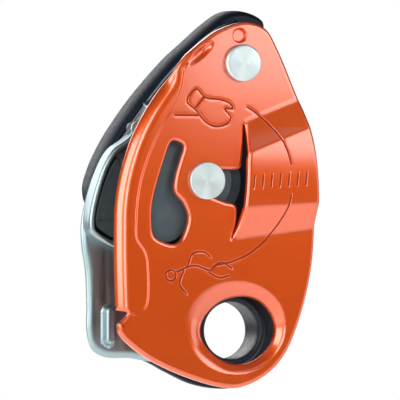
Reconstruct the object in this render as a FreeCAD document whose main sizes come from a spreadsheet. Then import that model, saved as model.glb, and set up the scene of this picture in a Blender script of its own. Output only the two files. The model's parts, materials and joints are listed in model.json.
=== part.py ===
import FreeCAD, Part
import math
import os
import Sketcher

# A self-braking rope device, clipped to a harness through the hole at its foot.
# X runs to the right, Z up, and Y from the front plate to the release handle.
# The origin is on the axis of the attachment hole, half way between the two plates.

Vector = FreeCAD.Vector

# ---------------------------------------------------------------- driving dimensions
# Stations along Y (the middle of the rope channel = 0), radii and places, in mm.
DIMENSIONS = {
    "sheet": 2.5,
    "plate_front": -9.5,
    "plate_back": -7.0,
    "tunnel_front": -13.9,
    "tunnel_inner": -11.4,
    "bead_back": -4.7,
    "lip_front": -6.1,
    "lip_back": -3.7,
    "dimple_floor": -8.5,
    "pivot_x": 1.0,
    "pivot_z": 83.75,
    "pivot_head_radius": 5.85,
    "pivot_head_front": -11.8,
    "pivot_head_edge": -10.8,
    "pivot_crown_radius": 4.6,
    "pivot_head_back": -9.6,
    "pivot_shank_radius": 4.0,
    "pivot_hole_radius": 4.06,
    "pivot_washer_radius": 7.4,
    "pivot_washer_front": -6.94,
    "spacer_front": -6.4,
    "spacer_radius": 6.4,
    "pivot_tail_radius": 5.6,
    "pivot_tail_back": 10.7,
    "axle_x": -10.9,
    "axle_z": 46.9,
    "axle_head_radius": 5.8,
    "axle_head_front": -11.2,
    "axle_head_back": -9.65,
    "axle_neck_radius": 3.2,
    "neck_seat_radius": 3.6,
    "axle_journal_radius": 4.5,
    "axle_bore_radius": 4.55,
    "axle_shoulder": -6.7,
    "axle_ring_front": 15.8,
    "axle_ring_back": 16.8,
    "axle_groove_radius": 3.7,
    "axle_end": 17.5,
    "cam_washer_radius": 9.4,
    "cam_washer_back": -5.1,
    "cam_front": -5.1,
    "cam_back": 5.1,
    "cam_cheek_radius": 13.0,
    "cam_bush_radius": 6.0,
    "cam_recess_radius": 9.2,
    "cam_recess_floor": 2.1,
    "rope_groove_radius": 4.3,
    "spring_radius": 7.6,
    "spring_wire_radius": 0.6,
    "drive_radius": 13.0,
    "drive_pin_radius": 1.75,
    "drive_pin_front": 0.5,
    "drive_pin_back": 14.1,
    "friction_front": 5.5,
    "fixed_front": 7.0,
    "fixed_back": 10.0,
    "wall_top": -0.5,
    "wall_width": 1.8,
    "anvil_top": -4.2,
    "rib_top": 2.5,
    "block_top": 1.7,
    "bore_radius": 9.0,
    "collar_radius": 11.4,
    "collar_front": -3.2,
    "rivet_radius": 1.5,
    "rivet_head_radius": 2.6,
    "rivet_head_front": 4.7,
    "rivet_tail_back": 10.5,
    "hub_front": 10.7,
    "hub_back": 15.5,
    "hub_radius": 17.0,
    "hub_bush_radius": 6.0,
    "ring_radius": 6.2,
    "cap_radius": 8.4,
    "cap_back": 18.9,
    "cap_inner_back": 17.9,
    "cap_inner_radius": 6.8,
    "lever_front": 11.1,
    "lever_back": 22.5,
    "lever_floor": 20.4,
    "hinge_x": -35.4,
    "hinge_y": 17.0,
    "hinge_z": 35.0,
    "hinge_lean": 18.4,
    "knuckle_radius": 3.7,
    "hinge_pin_radius": 1.6,
    "hinge_bore_radius": 1.66,
    "hinge_spring_radius": 2.5,
    "hinge_wire_radius": 0.4,
}

# ---------------------------------------------------------------- outlines, as (x, z)
# Left edge of the moving plate, rolled backwards into a bead, from top to bottom.
BEAD_EDGE = [(-20.2, 83.3), (-24.2, 77.2), (-29.5, 69.7), (-33.7, 62.2), (-36.7, 54.7),
             (-38.9, 46.9), (-40.1, 38.7), (-40.3, 30.0), (-40.2, 20.0), (-39.8, 5.9)]
# The rest of its outline: round the foot, up the right side, over the top.
PLATE_FOOT = [(-39.8, 5.9), (-40.0, 1.5), (-37.3, -3.4), (-29.3, -9.1), (-16.4, -14.7),
              (-3.0, -18.0), (4.3, -16.6), (11.2, -12.4), (15.9, -6.8), (19.4, 0.8),
              (22.4, 10.3), (24.5, 21.0), (25.3, 32.0), (25.4, 44.0), (24.1, 57.5),
              (21.2, 69.0), (17.9, 77.2), (12.9, 88.4), (8.9, 94.6), (2.3, 96.6),
              (-6.7, 94.1), (-15.0, 88.4), (-20.2, 83.3)]
# Window in the moving plate that shows the cam.
CAM_WINDOW = [(-22.1, 59.2), (-24.9, 52.9), (-26.9, 46.8), (-28.4, 41.0), (-28.9, 35.5),
              (-28.1, 29.8), (-24.9, 27.8), (-21.0, 27.2), (-18.6, 29.0), (-16.6, 35.2),
              (-18.2, 39.8), (-21.2, 43.6), (-20.8, 48.6), (-19.3, 53.6), (-18.3, 58.0)]
# Slot that lets the axle's neck out towards the tunnel.
NECK_SLOT = [(-10.9, 50.5), (-12.0, 43.6), (-10.9, 43.0), (-6.4, 40.9), (-1.4, 39.7),
             (-0.3, 38.6), (-0.5, 35.4), (1.6, 33.0), (1.6, 50.5)]
# Foot and roof of the tunnel that is pressed forward over the axle's head. Both run
# anticlockwise from the lower left corner, and their right side follows the plate's edge.
TUNNEL_FOOT = [(-1.6, 28.7), (25.1, 32.3), (25.35, 44.0), (24.1, 57.5), (20.4, 72.4), (2.6, 65.4)]
TUNNEL_ROOF = [(1.2, 38.4), (25.3, 39.4), (25.35, 44.0), (24.1, 57.5), (22.4, 63.2), (2.6, 55.5)]
TUNNEL_SLIT = 1.0
TUNNEL_OVERRUN = 3.0
# Dish round the attachment hole, and the hole's own outline as radii every 45 degrees.
DISH_CENTRE = (-1.0, 1.0)
DISH_SEMI_AXES = (16.6, 14.3)
EYE_RADII = [12.2, 11.5, 10.0, 10.0, 11.2, 9.9, 9.9, 10.7]
DISH_WALL = 2.2
# Fixed plate.
FIXED_OUTLINE = [(4.6, 96.9), (-3.4, 93.1), (-12.5, 85.0), (-20.9, 75.9), (-28.2, 66.4),
                 (-33.2, 59.2), (-37.4, 55.4), (-40.9, 49.8), (-43.8, 42.4), (-45.6, 34.3),
                 (-45.5, 27.0), (-44.3, 18.0), (-43.9, 8.0), (-43.9, 0.0), (-42.2, -5.0),
                 (-38.4, -7.2), (-31.0, -7.6), (-24.5, -9.8), (-18.5, -12.9), (-9.4, -16.9),
                 (0.5, -18.4), (7.0, -17.0), (14.5, -10.0), (19.0, -1.0), (22.6, 10.0),
                 (24.2, 24.0), (24.5, 40.0), (22.6, 60.0), (18.2, 76.0), (13.4, 87.0), (9.6, 94.4)]
# Friction plate: its base, its raised wall, its anvil and its rib.
FRICTION_OUTLINE = [(-3.5, 71.3), (-14.0, 76.4), (-22.5, 73.4), (-29.0, 65.0), (-33.9, 58.9),
                    (-38.2, 56.0), (-41.8, 50.4), (-44.8, 42.6), (-46.7, 34.3), (-46.6, 27.0),
                    (-45.3, 18.0), (-44.9, 8.0), (-44.9, 0.0), (-43.2, -5.8), (-38.8, -8.3),
                    (-31.0, -8.6), (-21.0, -9.4), (-17.6, -3.0), (-18.6, 6.0), (-25.0, 17.0),
                    (-30.0, 27.0), (-33.4, 36.0), (-33.6, 47.0), (-30.2, 57.0), (-22.0, 64.2),
                    (-12.0, 66.2), (-4.0, 64.6)]
WALL_LINE = [(-31.5, 60.6), (-34.4, 58.4), (-37.6, 56.2), (-40.2, 52.4), (-42.6, 46.6),
             (-44.4, 40.4), (-45.4, 34.6), (-44.9, 31.2), (-42.2, 29.0), (-37.8, 26.8), (-33.0, 25.2)]
ANVIL_LINE = [(-25.6, 69.6), (-20.5, 71.8), (-13.0, 71.6), (-5.6, 68.4)]
BLOCK_OUTLINE = [(-36.4, 54.0), (-38.8, 50.6), (-41.0, 45.4), (-42.7, 39.8), (-43.6, 35.0),
                 (-43.0, 32.4), (-40.6, 30.6), (-37.2, 29.0), (-34.6, 33.0), (-34.4, 42.0),
                 (-34.6, 50.0)]
BLOCK_GROOVE_Z = 34.6
RIB_CENTRE = (-38.0, 1.6)
RIB_HALF_LENGTH = 4.0
RIB_HALF_WIDTH = 2.2
RIVET_PLACES = [(-30.0, 12.0), (-24.0, -3.0), (-28.0, 63.2)]
# Cam: a lobe on the left, joined to round cheeks on the right.
CAM_LOBE = [(-9.8, 59.85), (-16.5, 60.9), (-23.0, 60.6), (-28.0, 56.6), (-31.0, 50.0),
            (-31.8, 42.0), (-30.4, 34.0), (-26.6, 28.6), (-20.4, 28.2), (-16.0, 31.6),
            (-12.0, 33.95)]
# Folded lever: outer edge from hinge to tip, then back along its inner edge.
LEVER_OUTLINE = [(-39.7, 39.2), (-41.2, 44.6), (-39.5, 50.9), (-36.8, 56.6), (-33.5, 62.2),
                 (-25.2, 73.4), (-14.9, 84.7), (-8.5, 90.3), (-1.9, 95.9), (3.8, 99.7),
                 (8.6, 100.5), (13.6, 99.4), (16.8, 97.0), (16.6, 92.6), (12.0, 86.0),
                 (3.0, 77.6), (-8.0, 69.8), (-18.6, 64.8), (-25.9, 58.2), (-29.6, 50.6),
                 (-31.4, 44.0), (-34.4, 40.4)]
LEVER_CELLS = [[(-37.2, 50.6), (-33.6, 57.6), (-28.6, 58.2), (-32.0, 50.4)],
               [(-32.0, 60.2), (-23.4, 71.6), (-16.4, 68.8), (-27.4, 60.4)],
               [(-21.6, 73.6), (-8.8, 86.2), (0.6, 79.6), (-13.6, 70.4)],
               [(-6.6, 88.2), (6.4, 97.4), (13.0, 92.4), (3.0, 81.8)]]
HUB_ARM = [(-8.0, 31.0), (-22.0, 26.0), (-34.6, 24.0), (-37.2, 31.9), (-30.5, 35.0), (-20.0, 44.0)]
ROPE_STANDOFF = 1.6
DRIVE_SWEEP = 22.0
TURN_SWEEP = 75.0
SLOT_MARGIN = 4.0
SPRING_TURNS = 2.0
HINGE_TURNS = 2.5

document = FreeCAD.newDocument("RopeGrab")
dims = document.addObject("Spreadsheet::Sheet", "dims")
for row, (alias, value) in enumerate(DIMENSIONS.items(), start=1):
    dims.set(f"A{row}", alias)
    dims.set(f"B{row}", str(value))
    dims.setAlias(f"B{row}", alias)
document.recompute()
AXLE = (DIMENSIONS["axle_x"], DIMENSIONS["axle_z"])
PIVOT = (DIMENSIONS["pivot_x"], DIMENSIONS["pivot_z"])


# ---------------------------------------------------------------- shared helpers
def new_body(label):
    """Start one sub-part as a PartDesign body."""
    body = document.addObject("PartDesign::Body", label)
    body.Label = label
    return body


def attached_sketch(body, role):
    """Sketch on one of the body's own origin planes."""
    sketch = body.newObject("Sketcher::SketchObject", body.Label + "_sketch")
    plane = [item for item in body.Origin.OriginFeatures if item.Role == role][0]
    sketch.AttachmentSupport = [(plane, "")]
    sketch.MapMode = "FlatFace"
    return sketch


def flat_sketch(body, curves, station):
    """Closed curves drawn as seen from the front, at a named station along Y."""
    sketch = attached_sketch(body, "XZ_Plane")
    for curve in curves:
        sketch.addGeometry(curve)
    sketch.setExpression("AttachmentOffset.Base.z", f"-dims.{station}")
    return sketch


def smooth_loop(points):
    """One closed smooth curve through the points."""
    curve = Part.BSplineCurve()
    curve.interpolate(Points=[Vector(x, z, 0) for x, z in points], PeriodicFlag=True)
    return [curve]


def smooth_run(points):
    """One open smooth curve through the points."""
    curve = Part.BSplineCurve()
    curve.interpolate(Points=[Vector(x, z, 0) for x, z in points])
    return curve


def polygon(points):
    """Straight edges round the points."""
    following = points[1:] + points[:1]
    return [Part.LineSegment(Vector(a[0], a[1], 0), Vector(b[0], b[1], 0))
            for a, b in zip(points, following)]


def circle(centre, radius):
    """One full circle."""
    return [Part.Circle(Vector(centre[0], centre[1], 0), Vector(0, 0, 1), radius)]


def polar(centre, radius, degrees):
    """Point at a radius and an angle from a centre."""
    angle = math.radians(degrees)
    return (centre[0] + radius * math.cos(angle), centre[1] + radius * math.sin(angle))


def arc_slot(centre, radius, half_width, first, last):
    """Slot that follows a circle from one angle to another, with round ends."""
    up = Vector(0, 0, 1)
    middle = Vector(centre[0], centre[1], 0)
    outer = Part.Circle(middle, up, radius + half_width)
    inner = Part.Circle(middle, up, radius - half_width)
    start, end = math.radians(first), math.radians(last)
    low, high = polar(centre, radius, first), polar(centre, radius, last)
    low_end = Part.Circle(Vector(low[0], low[1], 0), up, half_width)
    high_end = Part.Circle(Vector(high[0], high[1], 0), up, half_width)
    return [Part.ArcOfCircle(outer, start, end),
            Part.ArcOfCircle(high_end, end, end + math.pi),
            Part.ArcOfCircle(inner, start, end),
            Part.ArcOfCircle(low_end, start - math.pi, start)]


def offset_line(points, distance):
    """Points moved sideways from a smooth line, to its left as it runs."""
    curve = smooth_run(points)
    moved = []
    for x, z in points:
        tangent = curve.tangent(curve.parameter(Vector(x, z, 0)))[0]
        moved.append((x - tangent.y * distance, z + tangent.x * distance))
    return moved


def band(points, left, right):
    """Strip along a smooth line, from one sideways distance to another."""
    first = offset_line(points, left)
    second = offset_line(points, right)
    return [smooth_run(first), smooth_run(second),
            Part.LineSegment(Vector(*first[0], 0), Vector(*second[0], 0)),
            Part.LineSegment(Vector(*first[-1], 0), Vector(*second[-1], 0))]


def pad(body, curves, front, back):
    """Add a flat prism between two stations."""
    feature = body.newObject("PartDesign::Pad", body.Label + "_pad")
    feature.Profile = flat_sketch(body, curves, back)
    feature.setExpression("Length", f"dims.{back} - dims.{front}")
    document.recompute()
    return feature


def pocket(body, curves, front, back, overrun=0.0):
    """Cut a flat prism between two stations, and past the front by an overrun."""
    before = body.Shape.Volume
    feature = body.newObject("PartDesign::Pocket", body.Label + "_pocket")
    feature.Profile = flat_sketch(body, curves, back)
    feature.Reversed = True
    feature.setExpression("Length", f"dims.{back} - dims.{front} + {overrun}")
    document.recompute()
    if body.Shape.Volume > before - 0.01:
        raise RuntimeError(f"a pocket in {body.Label} cuts nothing")
    return feature


def loft(body, kind, sections):
    """Add or cut a loft through (curves, station, shift) sections."""
    feature = body.newObject("PartDesign::" + kind, body.Label + "_loft")
    sketches = [flat_sketch(body, curves, station) for curves, station in sections]
    feature.Profile = sketches[0]
    feature.Sections = sketches[1:]
    feature.Ruled = True
    document.recompute()
    return feature


def turned(label, centre_x, centre_z, profile):
    """Revolve a profile of (radius cell, station cell) pairs about an axis along Y."""
    body = new_body(label)
    sketch = attached_sketch(body, "XY_Plane")
    sketch.setExpression("AttachmentOffset.Base.x", f"dims.{centre_x}")
    sketch.setExpression("AttachmentOffset.Base.z", f"dims.{centre_z}")
    corners = [(DIMENSIONS.get(radius, 0.0), DIMENSIONS[station]) for radius, station in profile]
    for line in polygon(corners):
        sketch.addGeometry(line)
    for index in range(len(corners)):
        following = (index + 1) % len(corners)
        sketch.addConstraint(Sketcher.Constraint("Coincident", index, 2, following, 1))
    for index, (radius, station) in enumerate(profile):
        if radius == "axis":
            sketch.addConstraint(Sketcher.Constraint("PointOnObject", index, 1, -2))
        else:
            width = sketch.addConstraint(
                Sketcher.Constraint("DistanceX", index, 1, corners[index][0]))
            sketch.setExpression(f"Constraints[{width}]", f"dims.{radius}")
        if DIMENSIONS[station] == 0.0:
            sketch.addConstraint(Sketcher.Constraint("PointOnObject", index, 1, -1))
            continue
        height = sketch.addConstraint(Sketcher.Constraint("DistanceY", index, 1, corners[index][1]))
        sketch.setExpression(f"Constraints[{height}]", f"dims.{station}")
    feature = body.newObject("PartDesign::Revolution", label + "_turned")
    feature.Profile = sketch
    feature.ReferenceAxis = (sketch, ["V_Axis"])
    feature.Angle = 360
    document.recompute()
    return body


def ring_profile(inner, outer, front, back):
    """Square section of a plain ring."""
    return [(inner, front), (outer, front), (outer, back), (inner, back)]


def boolean(kind, label, base, tool):
    """Join or cut two objects under a new label."""
    result = document.addObject("Part::" + kind, label)
    result.Label = label
    result.Base = base
    result.Tool = tool
    document.recompute()
    return result


def cylinder(label, radius, height, place):
    """Cylinder with its radius in a cell, at a placement of its own."""
    item = document.addObject("Part::Cylinder", label)
    item.setExpression("Radius", f"dims.{radius}")
    item.Height = height
    item.Placement = place
    document.recompute()
    return item


def coil(label, radius, wire, length, turns, place):
    """Round wire wound into a helix that starts at the placement and runs along its Z."""
    mean, thickness = DIMENSIONS[radius], DIMENSIONS[wire]
    path = Part.makeHelix(length / turns, length, mean)
    section = Part.Wire(Part.makeCircle(thickness, Vector(mean, 0, 0), Vector(0, 1, 0)))
    item = document.addObject("Part::Feature", label)
    item.Label = label
    item.Shape = Part.Wire(path).makePipeShell([section], True, True)
    item.Placement = place
    return item


# ---------------------------------------------------------------- the moving plate
def plate_outline():
    return [smooth_run(BEAD_EDGE), smooth_run(PLATE_FOOT)]


def dish_loop(margin):
    return smooth_loop([(DISH_CENTRE[0] + (DISH_SEMI_AXES[0] + margin) * math.cos(step * math.pi / 4),
                         DISH_CENTRE[1] + (DISH_SEMI_AXES[1] + margin) * math.sin(step * math.pi / 4))
                        for step in range(8)])


def eye_loop(margin):
    return smooth_loop([polar((0, 0), radius + margin, 45 * step)
                        for step, radius in enumerate(EYE_RADII)])


def tunnel_inside(points):
    """The tunnel's section, run past its left mouth by the slit and past the right edge."""
    left = [points[0], points[-1]]
    return [(x - TUNNEL_SLIT, z) if (x, z) in left else (x + TUNNEL_OVERRUN, z) for x, z in points]


def make_moving_side_plate():
    """Pressed aluminium plate with a rolled bead, a raised tunnel and a dished hole."""
    body = new_body("moving_side_plate")
    pad(body, plate_outline(), "plate_front", "plate_back")
    pad(body, band(BEAD_EDGE, 0.0, DIMENSIONS["sheet"]), "plate_front", "bead_back")
    loft(body, "AdditiveLoft", [(polygon(TUNNEL_FOOT), "plate_front"),
                                (polygon(TUNNEL_ROOF), "tunnel_front")])
    loft(body, "SubtractiveLoft", [(polygon(tunnel_inside(TUNNEL_FOOT)), "plate_back"),
                                   (polygon(tunnel_inside(TUNNEL_ROOF)), "tunnel_inner")])
    loft(body, "AdditiveLoft", [(dish_loop(0.0), "plate_back"),
                                (eye_loop(DISH_WALL), "lip_back")])
    loft(body, "SubtractiveLoft", [(dish_loop(0.0), "plate_front"),
                                   (eye_loop(0.0), "lip_front")])
    pocket(body, eye_loop(0.0), "lip_front", "lip_back", 1.0)
    pocket(body, smooth_loop(CAM_WINDOW), "plate_front", "plate_back", 1.0)
    pocket(body, polygon(NECK_SLOT), "plate_front", "plate_back")
    pocket(body, circle(AXLE, DIMENSIONS["neck_seat_radius"]), "plate_front", "plate_back", 1.0)
    pocket(body, circle(PIVOT, DIMENSIONS["pivot_hole_radius"]), "plate_front", "plate_back", 1.0)
    pocket(body, circle((0.2, 92.4), 2.2), "plate_front", "dimple_floor", 1.0)
    return body


# ---------------------------------------------------------------- pivot of the plates
def make_pivot():
    """Rivet that the moving plate turns on, with its spacer and washer."""
    rivet = turned("plate_pivot_rivet", "pivot_x", "pivot_z", [
        ("axis", "pivot_head_front"), ("pivot_crown_radius", "pivot_head_front"),
        ("pivot_head_radius", "pivot_head_edge"), ("pivot_head_radius", "pivot_head_back"),
        ("pivot_shank_radius", "pivot_head_back"), ("pivot_shank_radius", "fixed_back"),
        ("pivot_tail_radius", "fixed_back"), ("pivot_tail_radius", "pivot_tail_back"),
        ("axis", "pivot_tail_back")])
    spacer = turned("plate_pivot_spacer", "pivot_x", "pivot_z",
                    ring_profile("pivot_shank_radius", "spacer_radius", "spacer_front", "fixed_front"))
    washer = turned("plate_pivot_washer", "pivot_x", "pivot_z",
                    ring_profile("pivot_shank_radius", "pivot_washer_radius",
                                 "pivot_washer_front", "spacer_front"))
    return [rivet, spacer, washer]


# ---------------------------------------------------------------- fixed plate
def make_fixed_side_plate():
    """Back plate with the collar of the attachment hole drawn forward."""
    body = new_body("fixed_side_plate")
    pad(body, smooth_loop(FIXED_OUTLINE), "fixed_front", "fixed_back")
    pad(body, circle((0, 0), DIMENSIONS["collar_radius"]), "collar_front", "fixed_front")
    pocket(body, circle((0, 0), DIMENSIONS["bore_radius"]), "collar_front", "fixed_back", 1.0)
    pocket(body, circle(PIVOT, DIMENSIONS["pivot_shank_radius"]), "fixed_front", "fixed_back", 1.0)
    pocket(body, circle(AXLE, DIMENSIONS["axle_journal_radius"]), "fixed_front", "fixed_back", 1.0)
    for place in RIVET_PLACES:
        pocket(body, circle(place, DIMENSIONS["rivet_radius"]), "fixed_front", "fixed_back", 1.0)
    half_width = DIMENSIONS["drive_pin_radius"] + 0.5
    drive_slot = arc_slot(AXLE, DIMENSIONS["drive_radius"], half_width,
                          180 - DRIVE_SWEEP - SLOT_MARGIN, 180 + SLOT_MARGIN)
    pocket(body, drive_slot, "fixed_front", "fixed_back", 1.0)
    return body


# ---------------------------------------------------------------- friction plate
def make_friction_plate():
    """Stainless wear plate with a raised rope wall, an anvil and a stiffening rib."""
    body = new_body("friction_plate")
    pad(body, smooth_loop(FRICTION_OUTLINE), "friction_front", "fixed_front")
    half = DIMENSIONS["wall_width"] / 2
    pad(body, band(WALL_LINE, -half, half), "wall_top", "friction_front")
    pad(body, band(ANVIL_LINE, -half, half), "anvil_top", "friction_front")
    x, z = RIB_CENTRE
    low, high = z - RIB_HALF_LENGTH, z + RIB_HALF_LENGTH
    up = Vector(0, 0, 1)
    foot = Part.Circle(Vector(x, low, 0), up, RIB_HALF_WIDTH)
    top = Part.Circle(Vector(x, high, 0), up, RIB_HALF_WIDTH)
    rib = [Part.ArcOfCircle(foot, math.pi, 2 * math.pi), Part.ArcOfCircle(top, 0, math.pi),
           Part.LineSegment(Vector(x - RIB_HALF_WIDTH, low, 0), Vector(x - RIB_HALF_WIDTH, high, 0)),
           Part.LineSegment(Vector(x + RIB_HALF_WIDTH, low, 0), Vector(x + RIB_HALF_WIDTH, high, 0))]
    pad(body, rib, "rib_top", "friction_front")
    pocket(body, smooth_loop(BLOCK_OUTLINE), "friction_front", "fixed_front", 1.0)
    for place in RIVET_PLACES:
        pocket(body, circle(place, DIMENSIONS["rivet_radius"]), "friction_front", "fixed_front", 1.0)
    return body


def make_friction_block():
    """Moulded block that fills the rope wall's loop and backs it."""
    body = new_body("friction_backing_block")
    pad(body, smooth_loop(BLOCK_OUTLINE), "block_top", "fixed_front")
    groove = [(-46.0, BLOCK_GROOVE_Z - 0.4), (-33.0, BLOCK_GROOVE_Z - 0.4),
              (-33.0, BLOCK_GROOVE_Z + 0.4), (-46.0, BLOCK_GROOVE_Z + 0.4)]
    feature = pocket(body, polygon(groove), "block_top", "rib_top", 0.5)
    feature.Label = "parting_groove"
    return body


def make_friction_rivets():
    """Rivets that hold the friction plate to the fixed plate."""
    front, back = DIMENSIONS["rivet_head_front"], DIMENSIONS["rivet_tail_back"]
    face, rear = DIMENSIONS["friction_front"], DIMENSIONS["fixed_back"]
    head, shank = DIMENSIONS["rivet_head_radius"], DIMENSIONS["rivet_radius"]
    along = Vector(0, 1, 0)
    rivets = []
    for x, z in RIVET_PLACES:
        flange = Part.makeCylinder(head, face - front, Vector(x, front, z), along)
        pin = Part.makeCylinder(shank, back - front, Vector(x, front, z), along)
        tail = Part.makeCylinder(head - 0.3, back - rear, Vector(x, rear, z), along)
        rivets.append(flange.fuse([pin, tail]).removeSplitter())
    group = document.addObject("Part::Feature", "friction_plate_rivets")
    group.Label = "friction_plate_rivets"
    group.Shape = Part.makeCompound(rivets)
    return group


# ---------------------------------------------------------------- cam and its axle
def cam_outline():
    """Lobe on the left, and an arc about the axle on the right."""
    first, last = CAM_LOBE[0], CAM_LOBE[-1]
    middle = polar(AXLE, DIMENSIONS["cam_cheek_radius"], -5)
    arc = Part.Arc(Vector(*last, 0), Vector(*middle, 0), Vector(*first, 0))
    return [smooth_run(CAM_LOBE), arc]


def make_cam():
    """Steel cam with a rope groove round its right side."""
    body = new_body("cam")
    pad(body, cam_outline(), "cam_front", "cam_back")
    pocket(body, circle(AXLE, DIMENSIONS["cam_bush_radius"]), "cam_front", "cam_back", 1.0)
    pocket(body, circle(AXLE, DIMENSIONS["cam_recess_radius"]), "cam_recess_floor", "cam_back")
    pin_place = polar(AXLE, DIMENSIONS["drive_radius"], 180)
    pocket(body, circle(pin_place, DIMENSIONS["drive_pin_radius"]), "drive_pin_front", "cam_back")
    groove_rope_path(body)
    return body


def groove_rope_path(body):
    """Cut the round groove that the rope runs in, half way round the right side."""
    sketch = attached_sketch(body, "XY_Plane")
    sketch.setExpression("AttachmentOffset.Base.x", "dims.axle_x")
    sketch.setExpression("AttachmentOffset.Base.z", "dims.axle_z")
    middle = (DIMENSIONS["cam_front"] + DIMENSIONS["cam_back"]) / 2
    reach = DIMENSIONS["cam_cheek_radius"] + ROPE_STANDOFF
    sketch.addGeometry(circle((reach, middle), DIMENSIONS["rope_groove_radius"])[0])
    feature = body.newObject("PartDesign::Groove", "rope_groove")
    feature.Profile = sketch
    feature.ReferenceAxis = (sketch, ["V_Axis"])
    feature.Angle = 180
    feature.Midplane = True
    document.recompute()


def make_cam_pieces():
    """Bush, washer, drive pin and return spring of the cam."""
    bush = turned("cam_bush", "axle_x", "axle_z",
                  ring_profile("axle_bore_radius", "cam_bush_radius", "cam_front", "cam_back"))
    washer = turned("cam_front_washer", "axle_x", "axle_z",
                    ring_profile("axle_bore_radius", "cam_washer_radius",
                                 "axle_shoulder", "cam_washer_back"))
    pin = new_body("cam_drive_pin")
    pad(pin, circle(polar(AXLE, DIMENSIONS["drive_radius"], 180), DIMENSIONS["drive_pin_radius"]),
        "drive_pin_front", "drive_pin_back")
    wire = DIMENSIONS["spring_wire_radius"]
    start = DIMENSIONS["cam_recess_floor"] + wire + 0.4
    end = DIMENSIONS["fixed_front"] - wire - 0.1
    back_to_front = FreeCAD.Rotation(Vector(1, 0, 0), -90)
    spring = coil("cam_return_spring", "spring_radius", "spring_wire_radius", end - start,
                  SPRING_TURNS, FreeCAD.Placement(Vector(AXLE[0], start, AXLE[1]), back_to_front))
    return [bush, washer, pin, spring]


def make_cam_axle():
    """Turned axle: wide flat head, thin neck, journal, and a groove for its ring."""
    return turned("cam_axle", "axle_x", "axle_z", [
        ("axis", "axle_head_front"), ("axle_head_radius", "axle_head_front"),
        ("axle_head_radius", "axle_head_back"), ("axle_neck_radius", "axle_head_back"),
        ("axle_neck_radius", "axle_shoulder"), ("axle_journal_radius", "axle_shoulder"),
        ("axle_journal_radius", "axle_ring_front"), ("axle_groove_radius", "axle_ring_front"),
        ("axle_groove_radius", "axle_ring_back"), ("axle_journal_radius", "axle_ring_back"),
        ("axle_journal_radius", "axle_end"), ("axis", "axle_end")])


# ---------------------------------------------------------------- release handle
def hinge_place(distance):
    """Placement at a distance up the hinge's axis, with its own Z along that axis."""
    lean = math.radians(DIMENSIONS["hinge_lean"])
    along = Vector(-math.sin(lean), 0, math.cos(lean))
    centre = Vector(DIMENSIONS["hinge_x"], DIMENSIONS["hinge_y"], DIMENSIONS["hinge_z"])
    turn = FreeCAD.Rotation(Vector(0, 1, 0), -DIMENSIONS["hinge_lean"])
    return FreeCAD.Placement(centre + along * distance, turn)


def make_handle_hub():
    """Hub on the axle's tail, with an arm out to the lever's hinge."""
    body = new_body("hub_blank")
    pad(body, circle(AXLE, DIMENSIONS["hub_radius"]), "hub_front", "hub_back")
    pad(body, polygon(HUB_ARM), "hub_front", "hub_back")
    pocket(body, circle(AXLE, DIMENSIONS["hub_bush_radius"]), "hub_front", "hub_back", 1.0)
    half_width = DIMENSIONS["drive_pin_radius"] + 0.5
    drive_slot = arc_slot(AXLE, DIMENSIONS["drive_radius"], half_width,
                          180 - DRIVE_SWEEP - TURN_SWEEP - SLOT_MARGIN, 180 + SLOT_MARGIN)
    pocket(body, drive_slot, "hub_front", "hub_back", 1.0)
    knuckle = cylinder("hub_knuckle", "knuckle_radius", 8.0, hinge_place(-9.0))
    joined = boolean("Fuse", "hub_with_knuckle", body, knuckle)
    bore = cylinder("hub_hinge_bore", "hinge_pin_radius", 10.0, hinge_place(-10.0))
    return boolean("Cut", "handle_hub", joined, bore)


def make_handle_lever():
    """Moulded lever, ribbed inside, folded along the top left of the fixed plate."""
    body = new_body("lever_blank")
    pad(body, smooth_loop(LEVER_OUTLINE), "lever_front", "lever_back")
    for cell in LEVER_CELLS:
        pocket(body, polygon(cell), "lever_front", "lever_floor", 1.0)
    knuckle = cylinder("lever_knuckle", "knuckle_radius", 5.2, hinge_place(2.6))
    joined = boolean("Fuse", "lever_with_knuckle", body, knuckle)
    bore = cylinder("lever_hinge_bore", "hinge_bore_radius", 5.8, hinge_place(2.0))
    return boolean("Cut", "handle_lever", joined, bore)


def make_handle_pieces():
    """Hinge pin and spring, hub bush, retaining ring and cap."""
    pin = cylinder("handle_hinge_pin", "hinge_pin_radius", 16.5, hinge_place(-8.8))
    spring = coil("handle_fold_spring", "hinge_spring_radius", "hinge_wire_radius", 2.2,
                  HINGE_TURNS, hinge_place(-0.3))
    bush = turned("handle_hub_bush", "axle_x", "axle_z",
                  ring_profile("axle_bore_radius", "hub_bush_radius", "hub_front", "hub_back"))
    ring = turned("axle_retaining_ring", "axle_x", "axle_z",
                  ring_profile("axle_groove_radius", "ring_radius",
                               "axle_ring_front", "axle_ring_back"))
    cap = turned("handle_hub_cap", "axle_x", "axle_z", [
        ("axis", "cap_inner_back"), ("cap_inner_radius", "cap_inner_back"),
        ("cap_inner_radius", "hub_back"), ("cap_radius", "hub_back"),
        ("cap_radius", "cap_back"), ("axis", "cap_back")])
    return [pin, spring, bush, ring, cap]


def make_everything():
    nodes = [make_moving_side_plate(), make_fixed_side_plate()]
    nodes += make_pivot()
    nodes += [make_friction_plate(), make_friction_block(), make_friction_rivets()]
    nodes += [make_cam(), make_cam_axle()]
    nodes += make_cam_pieces()
    nodes += [make_handle_hub(), make_handle_lever()]
    nodes += make_handle_pieces()
    return nodes


def check_and_write(nodes):
    """Stop on any failed object, then write each sub-part to its own file."""
    document.recompute()
    for item in document.Objects:
        if "Invalid" in item.State or "Error" in item.State:
            raise RuntimeError(f"{item.Label} did not build: {item.State}")
    for node in nodes:
        if node.Shape.isNull() or not node.Shape.isValid():
            raise RuntimeError(f"{node.Label} has no valid shape")
        print(f"{node.Label:24s} {len(node.Shape.Solids)} solids {node.Shape.Volume:10.1f} mm3")
    os.makedirs("parts", exist_ok=True)
    for node in nodes:
        node.Shape.exportStep(f"parts/{node.Label}.step")


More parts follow.
